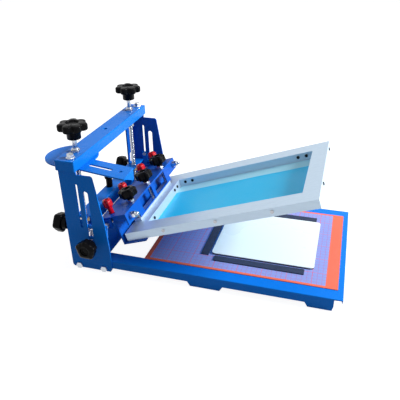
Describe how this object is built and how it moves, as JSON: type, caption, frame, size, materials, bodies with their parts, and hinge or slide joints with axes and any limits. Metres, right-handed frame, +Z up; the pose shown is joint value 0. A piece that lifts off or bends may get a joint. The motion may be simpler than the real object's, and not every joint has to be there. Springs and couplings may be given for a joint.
{
  "type": "tabletop screen printing press",
  "caption": "Tabletop screen printing press: slotted tower with height screws, tilting spring-lifted head, knob-clamped aluminium screen over a gridded base with pallet.",
  "frame": {"origin": "middle of the bounding box in plan, on the table that the press stands on", "axes": "+X from the tower to the free end of the base where the operator stands, +Y to the rear, +Z up"},
  "size_m": [0.6256, 0.423, 0.316],
  "materials": {
    "blue": "glossy royal blue powder coat",
    "mat": "matt printed grid with an orange border",
    "white": "smooth white laminate",
    "grey": "matt dark grey",
    "zinc": "bright zinc plate",
    "steel": "turned steel",
    "spring": "bright spring wire",
    "brass": "machined brass",
    "black": "glossy black moulding",
    "red": "glossy red moulding",
    "aluminium": "satin anodised",
    "mesh": "stretched polyester mesh with a coated field",
    "screw": "black oxide"
  },
  "bodies": {
    "base": {"base_tray": "blue", "grid_mat": "mat", "pallet": "white", "stop_bar_left": "grey", "stop_bar_front": "grey", "stop_bar_rear": "grey", "upright_front": "blue", "upright_rear": "blue", "upright_bolts": "zinc", "upright_nuts": "zinc", "crossbar": "blue", "crossbar_bolts": "zinc", "crossbar_nuts": "zinc", "screw_bushes": "steel", "bush_nuts": "zinc"},
    "arm": {"arm_plate": "blue"},
    "screw_front": {"height_screw_front": "zinc", "screw_collar_front": "steel", "height_knob_front": "black"},
    "screw_rear": {"height_screw_rear": "zinc", "screw_collar_rear": "steel", "height_knob_rear": "black"},
    "carriage": {"carriage_frame": "blue", "lead_nuts": "brass", "guide_pins": "steel", "lock_studs": "zinc", "lock_spacers": "zinc", "hinge_shaft": "steel", "spring_pins": "steel", "lift_spring_front": "spring", "lift_spring_rear": "spring"},
    "side_knob_front": {"side_knob_front": "black"},
    "side_knob_rear": {"side_knob_rear": "black"},
    "back_knob_front": {"back_knob_front": "black"},
    "back_knob_rear": {"back_knob_rear": "black"},
    "centre_knob": {"centre_knob": "black"},
    "head": {"swing_plate": "blue", "spring_hooks": "steel", "red_studs": "zinc", "adjust_rods": "zinc"},
    "red_knob_1": {"red_knob_1": "red"},
    "red_knob_2": {"red_knob_2": "red"},
    "red_knob_3": {"red_knob_3": "red"},
    "red_knob_4": {"red_knob_4": "red"},
    "screen": {"clamp_channel": "blue", "adjust_nuts": "zinc", "clamp_nuts": "zinc", "screen_bar_near": "aluminium", "screen_bar_far": "aluminium", "screen_bar_left": "aluminium", "screen_bar_right": "aluminium", "screen_mesh": "mesh", "frame_screws": "screw"},
    "pressure_bar": {"pressure_bar": "aluminium"},
    "clamp_1": {"clamp_screw_1": "zinc", "clamp_knob_1": "black"},
    "clamp_2": {"clamp_screw_2": "zinc", "clamp_knob_2": "black"},
    "clamp_3": {"clamp_screw_3": "zinc", "clamp_knob_3": "black"}
  },
  "joints": [
    {"name": "screw_front_turn", "type": "hinge", "parent": "base", "child": "screw_front", "pos_m": [-0.23212, -0.132, 0.2], "axis": [0, 0, 1], "range_deg": [-6003, 4083]},
    {"name": "screw_rear_turn", "type": "hinge", "parent": "base", "child": "screw_rear", "pos_m": [-0.23212, 0.132, 0.2], "axis": [0, 0, 1], "range_deg": [-6003, 4083]},
    {"name": "carriage_slide", "type": "slide", "parent": "base", "child": "carriage", "axis": [0, 0, 1], "range_m": [-0.017, 0.025]},
    {"name": "arm_swing", "type": "hinge", "parent": "base", "child": "arm", "pos_m": [-0.23212, -0.132, 0.23], "axis": [0, 0, 1], "range_deg": [-12, 3]},
    {"name": "side_knob_front_turn", "type": "hinge", "parent": "carriage", "child": "side_knob_front", "pos_m": [-0.19822, -0.1945, 0.072], "axis": [0, -1, 0], "continuous": true},
    {"name": "side_knob_rear_turn", "type": "hinge", "parent": "carriage", "child": "side_knob_rear", "pos_m": [-0.19822, 0.1945, 0.072], "axis": [0, 1, 0], "continuous": true},
    {"name": "back_knob_front_turn", "type": "hinge", "parent": "carriage", "child": "back_knob_front", "pos_m": [-0.27172, -0.155, 0.096], "axis": [-1, 0, 0], "continuous": true},
    {"name": "back_knob_rear_turn", "type": "hinge", "parent": "carriage", "child": "back_knob_rear", "pos_m": [-0.27172, 0.155, 0.096], "axis": [-1, 0, 0], "continuous": true},
    {"name": "centre_knob_turn", "type": "hinge", "parent": "carriage", "child": "centre_knob", "pos_m": [-0.23712, 0, 0.12], "axis": [0, 0, 1], "continuous": true},
    {"name": "head_swing", "type": "hinge", "parent": "carriage", "child": "head", "pos_m": [-0.16958, 0, 0.10648], "axis": [0, -1, 0], "range_deg": [-19.5, 35], "stiffness_Nm_per_rad": 2.6, "springref_deg": 47.56, "deforming": ["lift_spring_front", "lift_spring_rear"]},
    {"name": "red_knob_1_turn", "type": "hinge", "parent": "head", "child": "red_knob_1", "pos_m": [-0.17389, -0.128, 0.13359], "axis": [-0.3343, 0, 0.9425], "continuous": true},
    {"name": "red_knob_2_turn", "type": "hinge", "parent": "head", "child": "red_knob_2", "pos_m": [-0.17389, -0.052, 0.13359], "axis": [-0.3343, 0, 0.9425], "continuous": true},
    {"name": "red_knob_3_turn", "type": "hinge", "parent": "head", "child": "red_knob_3", "pos_m": [-0.17389, 0.052, 0.13359], "axis": [-0.3343, 0, 0.9425], "continuous": true},
    {"name": "red_knob_4_turn", "type": "hinge", "parent": "head", "child": "red_knob_4", "pos_m": [-0.17389, 0.128, 0.13359], "axis": [-0.3343, 0, 0.9425], "continuous": true},
    {"name": "screen_shift", "type": "slide", "parent": "head", "child": "screen", "axis": [0.9425, 0, 0.3343], "range_m": [-0.003, 0.003]},
    {"name": "clamp_lift", "type": "slide", "parent": "screen", "child": "pressure_bar", "axis": [-0.3343, 0, 0.9425], "range_m": [0, 0.006]},
    {"name": "clamp_2_turn", "type": "hinge", "parent": "pressure_bar", "child": "clamp_2", "pos_m": [-0.14562, 0, 0.14362], "axis": [-0.3343, 0, 0.9425], "range_deg": [0, 1730]},
    {"name": "clamp_1_turn", "type": "hinge", "parent": "pressure_bar", "child": "clamp_1", "pos_m": [-0.14562, -0.088, 0.14362], "axis": [-0.3343, 0, 0.9425], "range_deg": [0, 1730]},
    {"name": "clamp_3_turn", "type": "hinge", "parent": "pressure_bar", "child": "clamp_3", "pos_m": [-0.14562, 0.088, 0.14362], "axis": [-0.3343, 0, 0.9425], "range_deg": [0, 1730]}
  ],
  "couplings": [
    {"joint": "screw_front_turn", "follows": "carriage_slide", "rad_per_m": -4188.8},
    {"joint": "screw_rear_turn", "follows": "carriage_slide", "rad_per_m": -4188.8},
    {"joint": "clamp_1_turn", "follows": "clamp_lift", "rad_per_m": 5026.5},
    {"joint": "clamp_2_turn", "follows": "clamp_lift", "rad_per_m": 5026.5},
    {"joint": "clamp_3_turn", "follows": "clamp_lift", "rad_per_m": 5026.5}
  ]
}
